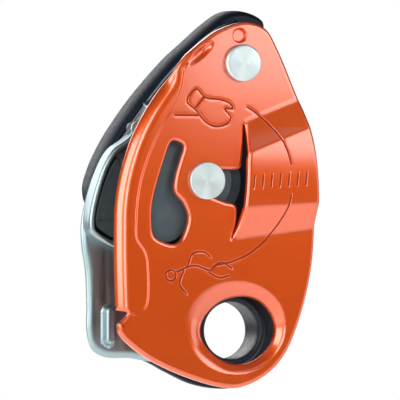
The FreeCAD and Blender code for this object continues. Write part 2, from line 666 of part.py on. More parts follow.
check_and_write(make_everything())
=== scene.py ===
import json
import math

import bpy
import numpy as np
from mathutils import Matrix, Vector
from mathutils.kdtree import KDTree
from mathutils.geometry import delaunay_2d_cdt


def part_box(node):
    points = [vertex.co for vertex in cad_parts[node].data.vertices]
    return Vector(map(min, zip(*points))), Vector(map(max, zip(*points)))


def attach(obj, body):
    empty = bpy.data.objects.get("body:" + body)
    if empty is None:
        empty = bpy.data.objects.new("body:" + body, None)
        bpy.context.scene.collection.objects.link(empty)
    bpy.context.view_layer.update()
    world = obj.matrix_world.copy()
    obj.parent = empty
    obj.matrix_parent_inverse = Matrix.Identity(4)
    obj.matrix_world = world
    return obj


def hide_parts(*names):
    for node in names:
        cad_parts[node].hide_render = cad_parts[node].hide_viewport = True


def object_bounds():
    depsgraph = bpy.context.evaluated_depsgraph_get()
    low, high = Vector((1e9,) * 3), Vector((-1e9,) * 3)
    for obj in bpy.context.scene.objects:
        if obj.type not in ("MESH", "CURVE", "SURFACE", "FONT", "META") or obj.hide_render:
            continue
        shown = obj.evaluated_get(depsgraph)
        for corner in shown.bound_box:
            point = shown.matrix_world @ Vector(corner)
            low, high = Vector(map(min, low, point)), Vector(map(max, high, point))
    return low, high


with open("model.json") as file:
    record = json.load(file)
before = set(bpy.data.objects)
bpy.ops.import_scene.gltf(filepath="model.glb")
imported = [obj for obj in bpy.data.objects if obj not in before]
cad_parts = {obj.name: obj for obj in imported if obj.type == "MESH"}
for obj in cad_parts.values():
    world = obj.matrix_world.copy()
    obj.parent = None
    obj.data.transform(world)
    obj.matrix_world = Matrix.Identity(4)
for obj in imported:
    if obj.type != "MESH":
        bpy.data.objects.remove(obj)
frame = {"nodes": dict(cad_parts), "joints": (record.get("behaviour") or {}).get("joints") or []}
cad_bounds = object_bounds()
MM = 0.001


# ------------------------------------------------------------------ places, in mm, read from the frame
def node_box(node):
    """Lowest and highest corner of a CAD node, in mm."""
    low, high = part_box(node)
    return np.array(low) / MM, np.array(high) / MM


def frame_joint(name):
    """A joint's entry in the frame."""
    return [item for item in frame["joints"] if item["name"] == name][0]


def joint_place(name):
    """(x, z) of a joint's axis, in mm."""
    joint = frame_joint(name)
    return joint["pos_m"][0] / MM, joint["pos_m"][2] / MM


PIVOT = joint_place("side_plate_swing")
AXLE = joint_place("cam_rotate")
FIXED_LOW, FIXED_HIGH = node_box("fixed_side_plate")
AXLE_LOW, AXLE_HIGH = node_box("cam_axle")
RIVET_LOW, RIVET_HIGH = node_box("plate_pivot_rivet")
LEVER_LOW, LEVER_HIGH = node_box("handle_lever")
FRICTION_LOW, FRICTION_HIGH = node_box("friction_plate")
PLATE_FRONT = -9.5
SHEET = 2.5

# ------------------------------------------------------------------ outlines, as (x, z) in mm
BEAD_EDGE = [(-17.0, 86.6), (-20.2, 83.3), (-24.2, 77.2), (-29.5, 69.7), (-33.7, 62.2), (-36.7, 54.7),
             (-38.9, 46.9), (-40.1, 38.7), (-40.3, 30.0), (-40.2, 20.0), (-39.8, 6.4)]
PLATE_REST = [(-39.9, 2.2), (-39.6, -0.6), (-37.3, -3.4), (-29.3, -9.1), (-16.4, -14.7),
              (-3.0, -18.0), (4.3, -16.6), (11.2, -12.4), (15.9, -6.8), (19.4, 0.8),
              (22.4, 10.3), (24.5, 21.0), (25.3, 32.0), (25.4, 44.0), (24.1, 57.5),
              (21.2, 69.0), (17.9, 77.2), (12.9, 88.4), (8.9, 94.6), (2.3, 96.6),
              (-6.7, 94.1), (-13.0, 89.9)]
CAM_WINDOW = [(-22.1, 59.2), (-24.9, 52.9), (-26.9, 46.8), (-28.4, 41.0), (-28.9, 35.5),
              (-28.1, 29.8), (-24.9, 27.8), (-21.0, 27.2), (-18.6, 29.0), (-16.6, 35.2),
              (-18.2, 39.8), (-21.2, 43.6), (-20.8, 48.6), (-19.3, 53.6), (-18.3, 58.0)]
# Neck slot and slit in one loop: the flat plate's edge down, round the axle, the tunnel's edge up.
NECK_LOOP = [(1.75, 64.6), (1.5, 60.0), (1.25, 54.0), (0.7, 51.2), (-0.8, 50.4), (-6.0, 50.45),
             (-10.9, 50.5), (-14.0, 48.6), (-14.3, 45.6), (-12.6, 43.7), (-8.6, 42.0), (-4.6, 40.5),
             (-1.6, 39.8), (-0.45, 38.6), (-0.6, 35.2), (-1.2, 32.4), (-2.2, 28.9), (-0.6, 31.8),
             (0.5, 36.1), (1.0, 40.8), (1.4, 46.2), (1.55, 51.2), (1.85, 56.9), (2.05, 62.0)]
CREST_LINE = [(-15.5, 85.6), (-18.2, 81.5), (-18.9, 77.0), (-21.7, 69.8), (-24.9, 65.0), (-27.7, 59.8),
              (-30.4, 53.6), (-32.4, 47.4), (-33.6, 41.0), (-34.1, 34.0), (-33.9, 28.8), (-31.4, 25.0),
              (-30.4, 21.6), (-30.2, 10.0), (-31.2, 7.2), (-33.6, 5.4), (-36.4, 5.2)]
EYE_RADII = [12.2, 11.5, 10.0, 10.0, 11.2, 9.9, 9.9, 10.7]
DISH_CENTRE = (-1.0, 1.0)
DISH_SEMI_AXES = (17.2, 14.9)
FIXED_OUTLINE = [(4.6, 96.9), (-3.4, 93.1), (-12.5, 85.0), (-20.9, 75.9), (-28.2, 66.4),
                 (-33.2, 59.2), (-37.4, 55.4), (-40.9, 49.8), (-43.8, 42.4), (-45.6, 34.3),
                 (-45.5, 27.0), (-44.3, 18.0), (-43.9, 8.0), (-43.9, 0.0), (-42.2, -5.0),
                 (-38.4, -7.2), (-31.0, -7.6), (-24.5, -9.8), (-18.5, -12.9), (-9.4, -16.9),
                 (0.5, -18.4), (7.0, -17.0), (14.5, -10.0), (19.0, -1.0), (22.6, 10.0),
                 (24.2, 24.0), (24.5, 40.0), (22.6, 60.0), (18.2, 76.0), (13.4, 87.0), (9.6, 94.4)]
FRICTION_OUTLINE = [(-3.5, 71.3), (-14.0, 76.4), (-22.5, 73.4), (-29.0, 65.0), (-33.9, 58.9),
                    (-38.2, 56.0), (-41.8, 50.4), (-44.8, 42.6), (-46.7, 34.3), (-46.6, 27.0),
                    (-45.3, 18.0), (-44.9, 8.0), (-44.9, 0.0), (-43.2, -5.8), (-38.8, -8.3),
                    (-31.0, -8.6), (-21.0, -9.4), (-17.6, -3.0), (-18.6, 6.0), (-25.0, 17.0),
                    (-30.0, 27.0), (-33.4, 36.0), (-33.6, 47.0), (-30.2, 57.0), (-22.0, 64.2),
                    (-12.0, 66.2), (-4.0, 64.6)]
WALL_LINE = [(-31.5, 60.6), (-34.4, 58.4), (-37.6, 56.2), (-40.2, 52.4), (-42.6, 46.6),
             (-44.4, 40.4), (-45.4, 34.6), (-44.9, 31.2), (-42.2, 29.0), (-37.8, 26.8), (-33.0, 25.2)]
ANVIL_LINE = [(-25.6, 69.6), (-20.5, 71.8), (-13.0, 71.6), (-5.6, 68.4)]
BLOCK_OUTLINE = [(-36.4, 54.0), (-38.8, 50.6), (-41.0, 45.4), (-42.7, 39.8), (-43.6, 35.0),
                 (-43.0, 32.4), (-40.6, 30.6), (-37.2, 29.0), (-34.6, 33.0), (-34.4, 42.0),
                 (-34.6, 50.0)]
LEVER_OUTLINE = [(-39.7, 39.2), (-41.2, 44.6), (-39.5, 50.9), (-36.8, 56.6), (-33.5, 62.2),
                 (-25.2, 73.4), (-14.9, 84.7), (-8.5, 90.3), (-1.9, 95.9), (3.8, 99.7),
                 (8.6, 100.5), (13.6, 99.4), (16.8, 97.0), (16.6, 92.6), (12.0, 86.0),
                 (3.0, 77.6), (-8.0, 69.8), (-18.6, 64.8), (-25.9, 58.2), (-29.6, 50.6),
                 (-31.4, 44.0), (-34.4, 40.4)]


# ------------------------------------------------------------------ curves
def smooth(points, closed, step=0.5):
    """Evenly spaced points on a smooth curve through given points."""
    given = np.array(points, float)
    count = len(given)
    spans = count if closed else count - 1
    fine = []
    for index in range(spans):
        if closed:
            a, b, c, d = (given[(index + shift) % count] for shift in (-1, 0, 1, 2))
        else:
            b, c = given[index], given[index + 1]
            a = given[index - 1] if index > 0 else 2 * b - c
            d = given[index + 2] if index + 2 < count else 2 * c - b
        t = np.linspace(0, 1, 24, endpoint=False)[:, None]
        chord = np.linalg.norm(c - b)
        start = (c - a) * chord / (np.linalg.norm(c - b) + np.linalg.norm(b - a))
        end = (d - b) * chord / (np.linalg.norm(d - c) + np.linalg.norm(c - b))
        fine.append((2 * t**3 - 3 * t**2 + 1) * b + (t**3 - 2 * t**2 + t) * start
                    + (3 * t**2 - 2 * t**3) * c + (t**3 - t**2) * end)
    if not closed:
        fine.append(given[-1:])
    return even(np.vstack(fine), closed, step)


def even(line, closed, step):
    """The same line with its points evenly spaced."""
    path = np.vstack([line, line[:1]]) if closed else line
    lengths = np.concatenate([[0], np.cumsum(np.linalg.norm(np.diff(path, axis=0), axis=1))])
    count = max(8, int(round(lengths[-1] / step)))
    stations = np.linspace(0, lengths[-1], count + 1)
    if closed:
        stations = stations[:-1]
    return np.column_stack([np.interp(stations, lengths, path[:, axis]) for axis in (0, 1)])


def round_loop(centre, radius, step=0.5):
    """Circle as a loop."""
    count = max(24, int(2 * math.pi * radius / step))
    turn = np.linspace(0, 2 * math.pi, count, endpoint=False)
    return np.column_stack([centre[0] + radius * np.cos(turn), centre[1] + radius * np.sin(turn)])


def wound(loop, anticlockwise):
    """The loop, turned to run the asked way."""
    x, z = loop[:, 0], loop[:, 1]
    area = np.sum(x * np.roll(z, -1) - np.roll(x, -1) * z)
    return loop if (area > 0) == anticlockwise else loop[::-1]


def side_normals(line, closed):
    """Unit normals to the left of a line as it runs."""
    if closed:
        along = np.roll(line, -1, axis=0) - np.roll(line, 1, axis=0)
    else:
        along = np.gradient(line, axis=0)
    along = along / np.linalg.norm(along, axis=1)[:, None]
    return np.column_stack([-along[:, 1], along[:, 0]])


def inside(points, loop):
    """Which points lie inside a closed loop."""
    x, z = points[:, 0], points[:, 1]
    result = np.zeros(len(points), bool)
    for (ax, az), (bx, bz) in zip(loop, np.roll(loop, -1, axis=0)):
        crosses = (az > z) != (bz > z)
        if crosses.any():
            result ^= crosses & (x < (bx - ax) * (z - az) / (bz - az + 1e-12) + ax)
    return result


def tree_of(line):
    """Search tree over a line's points."""
    tree = KDTree(len(line))
    for index, (x, z) in enumerate(line):
        tree.insert((x, z, 0), index)
    tree.balance()
    return tree


def nearest(points, tree):
    """Distance from each point to the tree's points, and the index of the nearest one."""
    found = [tree.find((x, z, 0)) for x, z in points.tolist()]
    return np.array([item[2] for item in found]), np.array([item[1] for item in found])


def ease(value):
    """0 to 1 with flat ends."""
    value = np.clip(value, 0, 1)
    return value * value * (3 - 2 * value)


def ramp(value, rounding):
    """A straight ramp from 0 to 1 whose two corners are rounded."""
    low = np.clip(value + rounding, 0, 2 * rounding) ** 2 / (4 * rounding)
    high = np.clip(1 + rounding - value, 0, 2 * rounding) ** 2 / (4 * rounding)
    middle = np.where(value < rounding, low, np.where(value > 1 - rounding, 1 - high, value))
    return np.where(value < -rounding, 0, np.where(value > 1 + rounding, 1, middle))


# ------------------------------------------------------------------ mesh builders
def add_mesh(name, vertices, faces, normals=None):
    """New object from vertices in mm."""
    mesh = bpy.data.meshes.new(name)
    mesh.from_pydata([tuple(v) for v in np.asarray(vertices) * MM], [], faces)
    mesh.update()
    mesh.polygons.foreach_set("use_smooth", [True] * len(mesh.polygons))
    if normals is not None:
        mesh.normals_split_custom_set_from_vertices([tuple(n) for n in normals])
    item = bpy.data.objects.new(name, mesh)
    bpy.context.scene.collection.objects.link(item)
    return item


def flat_at(station):
    """A surface that is flat, facing the front."""
    def surface(points):
        places = np.column_stack([points[:, 0], np.full(len(points), station), points[:, 1]])
        normals = np.tile([0.0, -1.0, 0.0], (len(points), 1))
        return places, normals
    return surface


def raised(station, height):
    """A surface raised towards the front by a height function of (x, z)."""
    def surface(points):
        delta = 0.02
        x, z = points[:, 0], points[:, 1]
        places = np.column_stack([x, station - height(x, z), z])
        slope_x = (height(x + delta, z) - height(x - delta, z)) / (2 * delta)
        slope_z = (height(x, z + delta) - height(x, z - delta)) / (2 * delta)
        normals = np.column_stack([-slope_x, -np.ones(len(x)), -slope_z])
        return places, normals / np.linalg.norm(normals, axis=1)[:, None]
    return surface


LOOK_AHEAD = 0.05
FLAT_GUARD = 0.2
EDGE_CLEARANCE = 0.28


def fillet_rings(inset, depth, steps):
    """(inset, depth, turn) of each ring of a rounded edge, from the wall to the face."""
    rings = []
    for step in range(steps + 1):
        turn = math.pi / 2 * step / steps
        lean = math.atan2(inset * math.sin(turn), depth * math.cos(turn))
        rings.append((inset * (1 - math.cos(turn)), depth * (1 - math.sin(turn)), lean))
    rings.append((inset + FLAT_GUARD, 0.0, math.pi / 2))
    return rings


def edge_rings(loop, normal, rings, surface, front, thickness):
    """Places and normals of each ring of a loop's rounded edge, on one side of a plate."""
    places, normals = [], []
    for inset, depth, turn in rings:
        place, up = surface(loop + normal * inset)
        ahead, _ = surface(loop + normal * (inset + LOOK_AHEAD))
        inward = ahead - place
        inward -= up * np.sum(inward * up, axis=1)[:, None]
        inward /= np.linalg.norm(inward, axis=1)[:, None] + 1e-9
        facing = up if front else -up
        places.append(place - up * (depth if front else thickness - depth))
        normals.append(facing * math.sin(turn) - inward * math.cos(turn))
    return places, normals


def sheet_piece(name, outer, holes, surfaces, thickness, rounds, spacings, extra=None, steps=4):
    """Plate with rounded edges: outline and holes in (x, z), shaped by a front and a back function."""
    loops = [wound(outer, True)] + [wound(hole, False) for hole in holes]
    left = [side_normals(loop, True) for loop in loops]
    vertices, normals, faces, walls = [], [], [], []
    total = 0
    for front, surface, rounding, spacing in zip((True, False), surfaces, rounds, spacings):
        rings = fillet_rings(*rounding, steps)
        first_rows, guards = [], []
        for loop, normal in zip(loops, left):
            places, facings = edge_rings(loop, normal, rings, surface, front, thickness)
            vertices += places
            normals += facings
            rows = [total + ring * len(loop) + np.arange(len(loop)) for ring in range(len(rings))]
            total += len(rings) * len(loop)
            for low, high in zip(rows[:-1], rows[1:]):
                faces += strip(low, high, front)
            first_rows.append(rows[0])
            guards.append(rows[-1])
        walls.append(first_rows)
        flats = [loop + normal * rings[-1][0] for loop, normal in zip(loops, left)]
        filled, triangles = fill(flats, spacing, extra if front else None)
        place, up = surface(filled)
        vertices.append(place if front else place - up * thickness)
        normals.append(up if front else -up)
        lookup = np.concatenate(guards + [np.arange(total, total + len(filled))])
        total += len(filled)
        for triangle in triangles:
            triple = [int(lookup[corner]) for corner in triangle]
            faces.append(triple if front else triple[::-1])
    for front_row, back_row in zip(*walls):
        faces += strip(front_row, back_row, False)
    return add_mesh(name, np.vstack(vertices), faces, np.vstack(normals))


def strip(low, high, forwards):
    """Quads between two rows of the same length that close on themselves."""
    faces = []
    for a, b, c, d in zip(low, np.roll(low, -1), np.roll(high, -1), high):
        quad = [int(a), int(b), int(c), int(d)]
        faces.append(quad if forwards else quad[::-1])
    return faces


def within(points, loops):
    """Which points lie inside the first loop and outside the others."""
    good = inside(points, loops[0])
    for hole in loops[1:]:
        good &= ~inside(points, hole)
    return good


def staggered_grid(loops, spacing, extra):
    """Points inside the loops on a staggered grid, with the extra points in its place near them."""
    low, high = loops[0].min(axis=0), loops[0].max(axis=0)
    columns = np.arange(low[0], high[0], spacing)
    rows = np.arange(low[1], high[1], spacing * 0.866)
    grid = np.array([(x + (spacing / 2 if index % 2 else 0), z)
                     for index, z in enumerate(rows) for x in columns])
    if extra is not None:
        grid = grid[nearest(grid, tree_of(extra))[0] > spacing * 0.7]
        grid = np.vstack([grid, extra])
    grid = grid[within(grid, loops)]
    return grid[nearest(grid, tree_of(np.vstack(loops)))[0] > EDGE_CLEARANCE]


def fill(loops, spacing, extra):
    """Points inside the loops, and the triangles between them and the loops' own points."""
    grid = staggered_grid(loops, spacing, extra)
    everything = np.vstack(loops + [grid])
    edges, start = [], 0
    for loop in loops:
        count = len(loop)
        edges += [(start + i, start + (i + 1) % count) for i in range(count)]
        start += count
    result = delaunay_2d_cdt([Vector(p) for p in everything], edges, [], 0, 1e-6)
    new_points = np.array([tuple(p) for p in result[0]])
    given = [ids[0] if ids else None for ids in result[3]]
    centres = np.array([new_points[list(face)].mean(axis=0) for face in result[2]])
    triangles = []
    for face, wanted in zip(result[2], within(centres, loops)):
        triple = [given[i] for i in face]
        if not wanted or None in triple or len(set(triple)) < 3:
            continue
        a, b, c = everything[triple]
        turned = (b[0] - a[0]) * (c[1] - a[1]) - (b[1] - a[1]) * (c[0] - a[0])
        triangles.append(triple if turned > 0 else triple[::-1])
    return grid, triangles


def turned_piece(name, centre, profile, count=96):
    """Lathe piece about an axis along Y through (x, z); the profile is (radius, y) pairs."""
    vertices, faces = [], []
    for radius, y in profile:
        turn = np.linspace(0, 2 * math.pi, count, endpoint=False)
        vertices.append(np.column_stack([radius * np.cos(turn), np.full(count, y), radius * np.sin(turn)]))
    for ring in range(len(profile) - 1):
        low = np.arange(ring * count, (ring + 1) * count)
        faces += strip(low, low + count, False)
    vertices = np.vstack(vertices)
    first = [int(i) for i in range(count)]
    last = [int(i) for i in range((len(profile) - 1) * count, len(profile) * count)]
    faces.append(first)
    faces.append(last[::-1])
    item = add_mesh(name, vertices, faces)
    item.location = (centre[0] * MM, 0, centre[1] * MM)
    return item


def rounded_corner(radius, y, rounding, towards, steps=5):
    """Profile points of a rounded rim: from the face at y round to the side."""
    points = []
    for step in range(steps + 1):
        turn = math.pi / 2 * step / steps
        points.append((radius - rounding + rounding * math.sin(turn),
                       y + towards * rounding * (1 - math.cos(turn))))
    return points


def swept_ridge(name, line, section):
    """Ridge along a line in (x, z): the section is (sideways, y) pairs, open at its foot."""
    normal = side_normals(line, False)
    vertices, faces = [], []
    for sideways, y in section:
        flat = line + normal * sideways
        vertices.append(np.column_stack([flat[:, 0], np.full(len(line), y), flat[:, 1]]))
    count = len(line)
    rows = len(section)
    for row in range(rows - 1):
        for step in range(count - 1):
            a = row * count + step
            faces.append([a, a + count, a + count + 1, a + 1])
    faces.append([row * count for row in range(rows)][::-1])
    faces.append([row * count + count - 1 for row in range(rows)])
    faces.append([i for i in range(count)] + [(rows - 1) * count + i for i in range(count)][::-1])
    return add_mesh(name, np.vstack(vertices), faces)


def joined(name, pieces):
    """One object from several, named."""
    bpy.ops.object.select_all(action="DESELECT")
    for piece in pieces:
        piece.select_set(True)
    bpy.context.view_layer.objects.active = pieces[0]
    bpy.ops.object.join()
    pieces[0].name = name
    pieces[0].data.name = name
    return pieces[0]


# ------------------------------------------------------------------ the moving plate's form
BEAD_RADIUS = 4.4
BEAD_FADE = (86.6, 75.0)
TUNNEL_HEIGHT = 4.4
STRIP_DROP = 0.45
GROOVE_DEPTH = 0.5
GROOVE_HALF_WIDTH = 0.42


def bead_bend():
    """Edge of the formed bead, its outward normals, and how far the sheet turns along it."""
    edge = smooth(BEAD_EDGE, False, 0.4)
    fade = ease((BEAD_FADE[0] - edge[:, 1]) / (BEAD_FADE[0] - BEAD_FADE[1]))
    return edge, -side_normals(edge, False), fade * math.pi / 2


EDGE, EDGE_OUT, EDGE_TURN = bead_bend()
EDGE_ALONG = np.column_stack([-EDGE_OUT[:, 1], EDGE_OUT[:, 0]])
EDGE_STEP = np.linalg.norm(EDGE[1] - EDGE[0])
EDGE_TREE = tree_of(EDGE)


def at_station(values, station):
    """Values along the bead's edge, between its points."""
    steps = np.arange(len(values))
    if values.ndim == 1:
        return np.interp(station, steps, values)
    return np.column_stack([np.interp(station, steps, column) for column in values.T])


def plate_outline():
    """The plate's outline with its bead rolled out flat."""
    unrolled = EDGE + EDGE_OUT * (BEAD_RADIUS * (EDGE_TURN - np.sin(EDGE_TURN)))[:, None]
    relief = np.array([(-38.4, 6.1), (-37.1, 5.8), (-36.8, 5.3), (-37.2, 4.6), (-38.8, 3.0)])
    rest = smooth(PLATE_REST, False, 0.5)
    loop = np.vstack([unrolled, relief, rest])
    return even(loop, True, 0.5)


def line_height(x, z, ends):
    """z of a straight line through two points, at x."""
    (ax, az), (bx, bz) = ends
    return az + (x - ax) * (bz - az) / (bx - ax)


TUNNEL_TOP_FOOT = ((2.2, 65.6), (19.2, 72.3))
TUNNEL_TOP_ROOF = ((2.7, 55.5), (21.0, 62.7))
TUNNEL_LOW_ROOF = ((0.8, 38.2), (24.3, 39.6))
TUNNEL_LOW_FOOT = ((-1.8, 28.7), (25.3, 32.2))
SLIT = [(-2.3, 28.4), (-0.9, 32.1), (0.0, 36.1), (0.4, 39.0), (1.1, 46.2), (1.3, 51.2),
        (1.6, 56.9), (1.8, 62.0), (1.9, 64.8)]


def tunnel(x, z):
    """Height of the tunnel pressed forward over the axle's head."""
    upper = line_height(x, z, TUNNEL_TOP_FOOT)
    above = (upper - z) / (upper - line_height(x, z, TUNNEL_TOP_ROOF))
    lower = line_height(x, z, TUNNEL_LOW_FOOT)
    below = (z - lower) / (line_height(x, z, TUNNEL_LOW_ROOF) - lower)
    slit = np.array(SLIT)
    right = x > np.interp(z, slit[:, 1], slit[:, 0])
    crown = 0.45 * ((z - 49.0) / 11.0) ** 2
    roof = TUNNEL_HEIGHT - np.clip(crown, 0, 0.8)
    return np.where(right, roof * ramp(above, 0.1) * ramp(below, 0.1), 0.0)


def eye_radius(turn):
    """Radius of the plate's eye at an angle."""
    radii = np.array(EYE_RADII + EYE_RADII[:1])
    value = np.mod(turn, 2 * math.pi)
    index = np.clip((value / (math.pi / 4)).astype(int), 0, 7)
    t = value / (math.pi / 4) - index
    before = radii[(index - 1) % 8]
    here, after = radii[index], radii[index + 1]
    later = radii[(index + 2) % 8]
    return (here + 0.5 * t * (after - before + t * (2 * before - 5 * here + 4 * after - later
            + t * (3 * (here - after) + later - before))))


def dish(x, z):
    """Depth of the dish round the eye."""
    turn = np.arctan2(z, x)
    radius = np.hypot(x, z)
    inner = eye_radius(turn)
    angle = np.arctan2((z - DISH_CENTRE[1]) / DISH_SEMI_AXES[1], (x - DISH_CENTRE[0]) / DISH_SEMI_AXES[0])
    edge_x = DISH_CENTRE[0] + DISH_SEMI_AXES[0] * np.cos(angle)
    edge_z = DISH_CENTRE[1] + DISH_SEMI_AXES[1] * np.sin(angle)
    outer = np.hypot(edge_x, edge_z)
    share = (radius - inner) / (outer - inner)
    fall = (1 - np.clip(share, 0, 1)) ** 1.7
    lip = 0.45 * (1 - ease((radius - inner) / 1.7))
    return 3.6 * fall - lip


CREST = smooth(CREST_LINE, False, 0.1)
CREST_NORMALS = side_normals(CREST, False)
CREST_TREE = tree_of(CREST)


def crest(x, z):
    """Step down from the plate's face to the strip beside the bead."""
    points = np.column_stack([x, z])
    distance, index = nearest(points, CREST_TREE)
    side = np.sum((points - CREST[index]) * CREST_NORMALS[index], axis=1)
    # The line runs downwards, so its left is the plate's middle.
    signed = np.sign(side) * distance
    fade = ease((87.0 - z) / 5.0) * ease((z - 3.6) / 1.4)
    return STRIP_DROP * fade * (1 - ease((signed + 0.35) / 0.7))


def long_dimple(x, z):
    """Crease pressed beside the edge, near the top."""
    start, end = np.array([-16.4, 83.6]), np.array([-9.4, 89.6])
    along = (end - start) / np.linalg.norm(end - start)
    middle = (start + end) / 2
    offset = np.column_stack([x, z]) - middle
    run = (offset @ along) / (np.linalg.norm(end - start) / 2 + 1.4)
    side = (offset @ np.array([-along[1], along[0]])) / 1.75
    reach = np.sqrt(run ** 2 + side ** 2)
    return 1.0 * (1 - ease((reach - 0.25) / 0.75))


def blind_dimple(x, z):
    """Round blind hole above the pivot."""
    radius = np.hypot(x - 0.2, z - 92.4)
    return 1.1 * (1 - ease((radius - 1.7) / 0.75))


def arc_line(centre, radius, first, last, step=0.3):
    """Part of a circle as a line."""
    count = max(6, int(abs(last - first) * math.pi / 180 * radius / step))
    turn = np.radians(np.linspace(first, last, count))
    return np.column_stack([centre[0] + radius * np.cos(turn), centre[1] + radius * np.sin(turn)])


def rope_marks():
    """Engraved lines: the rope's path, a dash, a plain hand and a plain hanging figure."""
    lines = [arc_line((-10.0, 46.9), 26.4, 61, 11), arc_line((-10.0, 46.9), 26.4, -9, -86),
             smooth([(-21.2, 67.5), (-13.6, 67.4)], False, 0.3)]
    # Hand: a plain mitten with a cuff.
    lines.append(smooth([(-17.2, 71.8), (-14.2, 75.6), (-11.2, 73.0), (-6.6, 72.4), (-3.4, 71.4),
                         (-1.9, 69.6), (-4.6, 69.4), (-2.6, 66.6), (-4.4, 64.6), (-8.4, 64.0),
                         (-11.8, 66.0), (-14.2, 69.0)], True, 0.3))
    lines.append(smooth([(-14.6, 69.6), (-11.6, 73.2)], False, 0.3))
    # Figure: round head, one bent body line, arms and legs.
    lines.append(arc_line((-22.6, 17.4), 1.7, 0, 352))
    lines.append(smooth([(-20.6, 18.6), (-15.0, 20.4), (-9.6, 18.8)], False, 0.3))
    lines.append(smooth([(-17.0, 20.0), (-15.2, 24.2), (-11.4, 24.6), (-9.4, 23.0)], False, 0.3))
    lines.append(smooth([(-18.0, 19.6), (-19.6, 14.6), (-17.4, 11.6)], False, 0.3))
    lines.append(smooth([(-9.6, 18.8), (-6.0, 21.4), (-2.4, 19.6)], False, 0.3))
    lines.append(smooth([(-10.2, 18.4), (-6.4, 16.6), (-3.4, 17.2)], False, 0.3))
    # Short grip lines on the tunnel's roof.
    for step in range(7):
        x = 3.4 + 2.9 * step
        lines.append(even(np.array([(x, 44.6 + 0.15 * step), (x + 0.4, 48.6 + 0.15 * step)]), False, 0.3))
    return lines


MARKS = rope_marks()
MARK_TREE = tree_of(np.vstack([even(line, False, 0.1) for line in MARKS]))


def grooves(x, z):
    """Depth of the engraved lines."""
    distance, _ = nearest(np.column_stack([x, z]), MARK_TREE)
    return GROOVE_DEPTH * (1 - ease(distance / GROOVE_HALF_WIDTH))


def front_height(x, z):
    """All of the front's forms."""
    return (tunnel(x, z) - dish(x, z) - crest(x, z) - long_dimple(x, z)
            - blind_dimple(x, z) - grooves(x, z))


def back_height(x, z):
    """Only the large forms reach the back."""
    return tunnel(x, z) - dish(x, z)


def plate_place(points, height_of):
    """Place of a point of the flat sheet once the plate is formed."""
    _, index = nearest(points, EDGE_TREE)
    station = index + np.sum((points - EDGE[index]) * EDGE_ALONG[index], axis=1) / EDGE_STEP
    edge, out, last_turn = (at_station(values, station) for values in (EDGE, EDGE_OUT, EDGE_TURN))
    past_edge = np.sum((points - edge) * out, axis=1)
    outward = past_edge + BEAD_RADIUS * np.sin(last_turn)
    beaded = (outward > 0) & (points[:, 1] > 5.2) & (points[:, 0] < -12.0) & (index > 0)
    front = PLATE_FRONT - height_of(points[:, 0], points[:, 1])
    places = np.column_stack([points[:, 0], front, points[:, 1]])
    turn = np.clip(outward / BEAD_RADIUS, 0, math.pi / 2)
    flat = points + out * (BEAD_RADIUS * np.sin(turn) - outward)[:, None]
    rolled = np.column_stack([flat[:, 0], front + BEAD_RADIUS * (1 - np.cos(turn)), flat[:, 1]])
    return np.where(beaded[:, None], rolled, places)


def plate_surface(height_of):
    """A face of the formed plate: its places and outward normals."""
    def surface(points):
        delta = 0.03
        across = plate_place(points + [delta, 0], height_of) - plate_place(points - [delta, 0], height_of)
        upward = plate_place(points + [0, delta], height_of) - plate_place(points - [0, delta], height_of)
        normal = np.cross(across, upward)
        return plate_place(points, height_of), normal / (np.linalg.norm(normal, axis=1)[:, None] + 1e-12)
    return surface


def rows_beside(line, offsets):
    """Rows of points beside a line."""
    normal = side_normals(line, False)
    return np.vstack([line + normal * offset for offset in offsets])


def shade_groove_faces(item, reach):
    """Give the second material, a darker orange that paints shade into the grooves, to the faces at the
    bottom of the engraved lines.
    """
    centres = np.empty(len(item.data.polygons) * 3)
    item.data.polygons.foreach_get("center", centres)
    centres = centres.reshape(-1, 3) / MM
    distance, _ = nearest(centres[:, [0, 2]], MARK_TREE)
    front = PLATE_FRONT - front_height(centres[:, 0], centres[:, 2])
    groove_shaded = (distance < reach) & (np.abs(centres[:, 1] - front) < 0.6)
    item.data.polygons.foreach_set("material_index", groove_shaded.astype(int).tolist())


def make_moving_plate():
    """Orange plate: bead, strip, tunnel, dish, dimples, window, slot and engraved lines."""
    turn = np.linspace(0, 2 * math.pi, 160, endpoint=False)
    radius = eye_radius(turn)
    eye = np.column_stack([radius * np.cos(turn), radius * np.sin(turn)])
    holes = [eye, smooth(CAM_WINDOW, True, 0.4), smooth(NECK_LOOP, True, 0.35), round_loop(PIVOT, 4.06, 0.4)]
    rows = [rows_beside(line, (-0.42, -0.22, 0.0, 0.22, 0.42)) for line in MARKS]
    rows.append(rows_beside(smooth(CREST_LINE, False, 0.4), (-0.45, -0.22, 0.0, 0.22, 0.45)))
    dimple = [round_loop((0.2, 92.4), 1.2 + 0.17 * step, 0.25) for step in range(10)]
    crease = [np.array([(x, z) for x in np.arange(-19.0, -7.0, 0.3) for z in np.arange(81.5, 92.0, 0.3)])]
    extra = np.vstack(rows + dimple + crease)
    surfaces = (plate_surface(front_height), plate_surface(back_height))
    return sheet_piece("moving_plate", plate_outline(), holes, surfaces, SHEET, ((1.4, 0.9), (0.35, 0.35)),
                       (0.6, 1.2), thinned(extra, 0.16), steps=6)


def thinned(points, gap):
    """Points with near duplicates dropped."""
    cells = np.round(points / gap).astype(int)
    _, first = np.unique(cells, axis=0, return_index=True)
    return points[np.sort(first)]


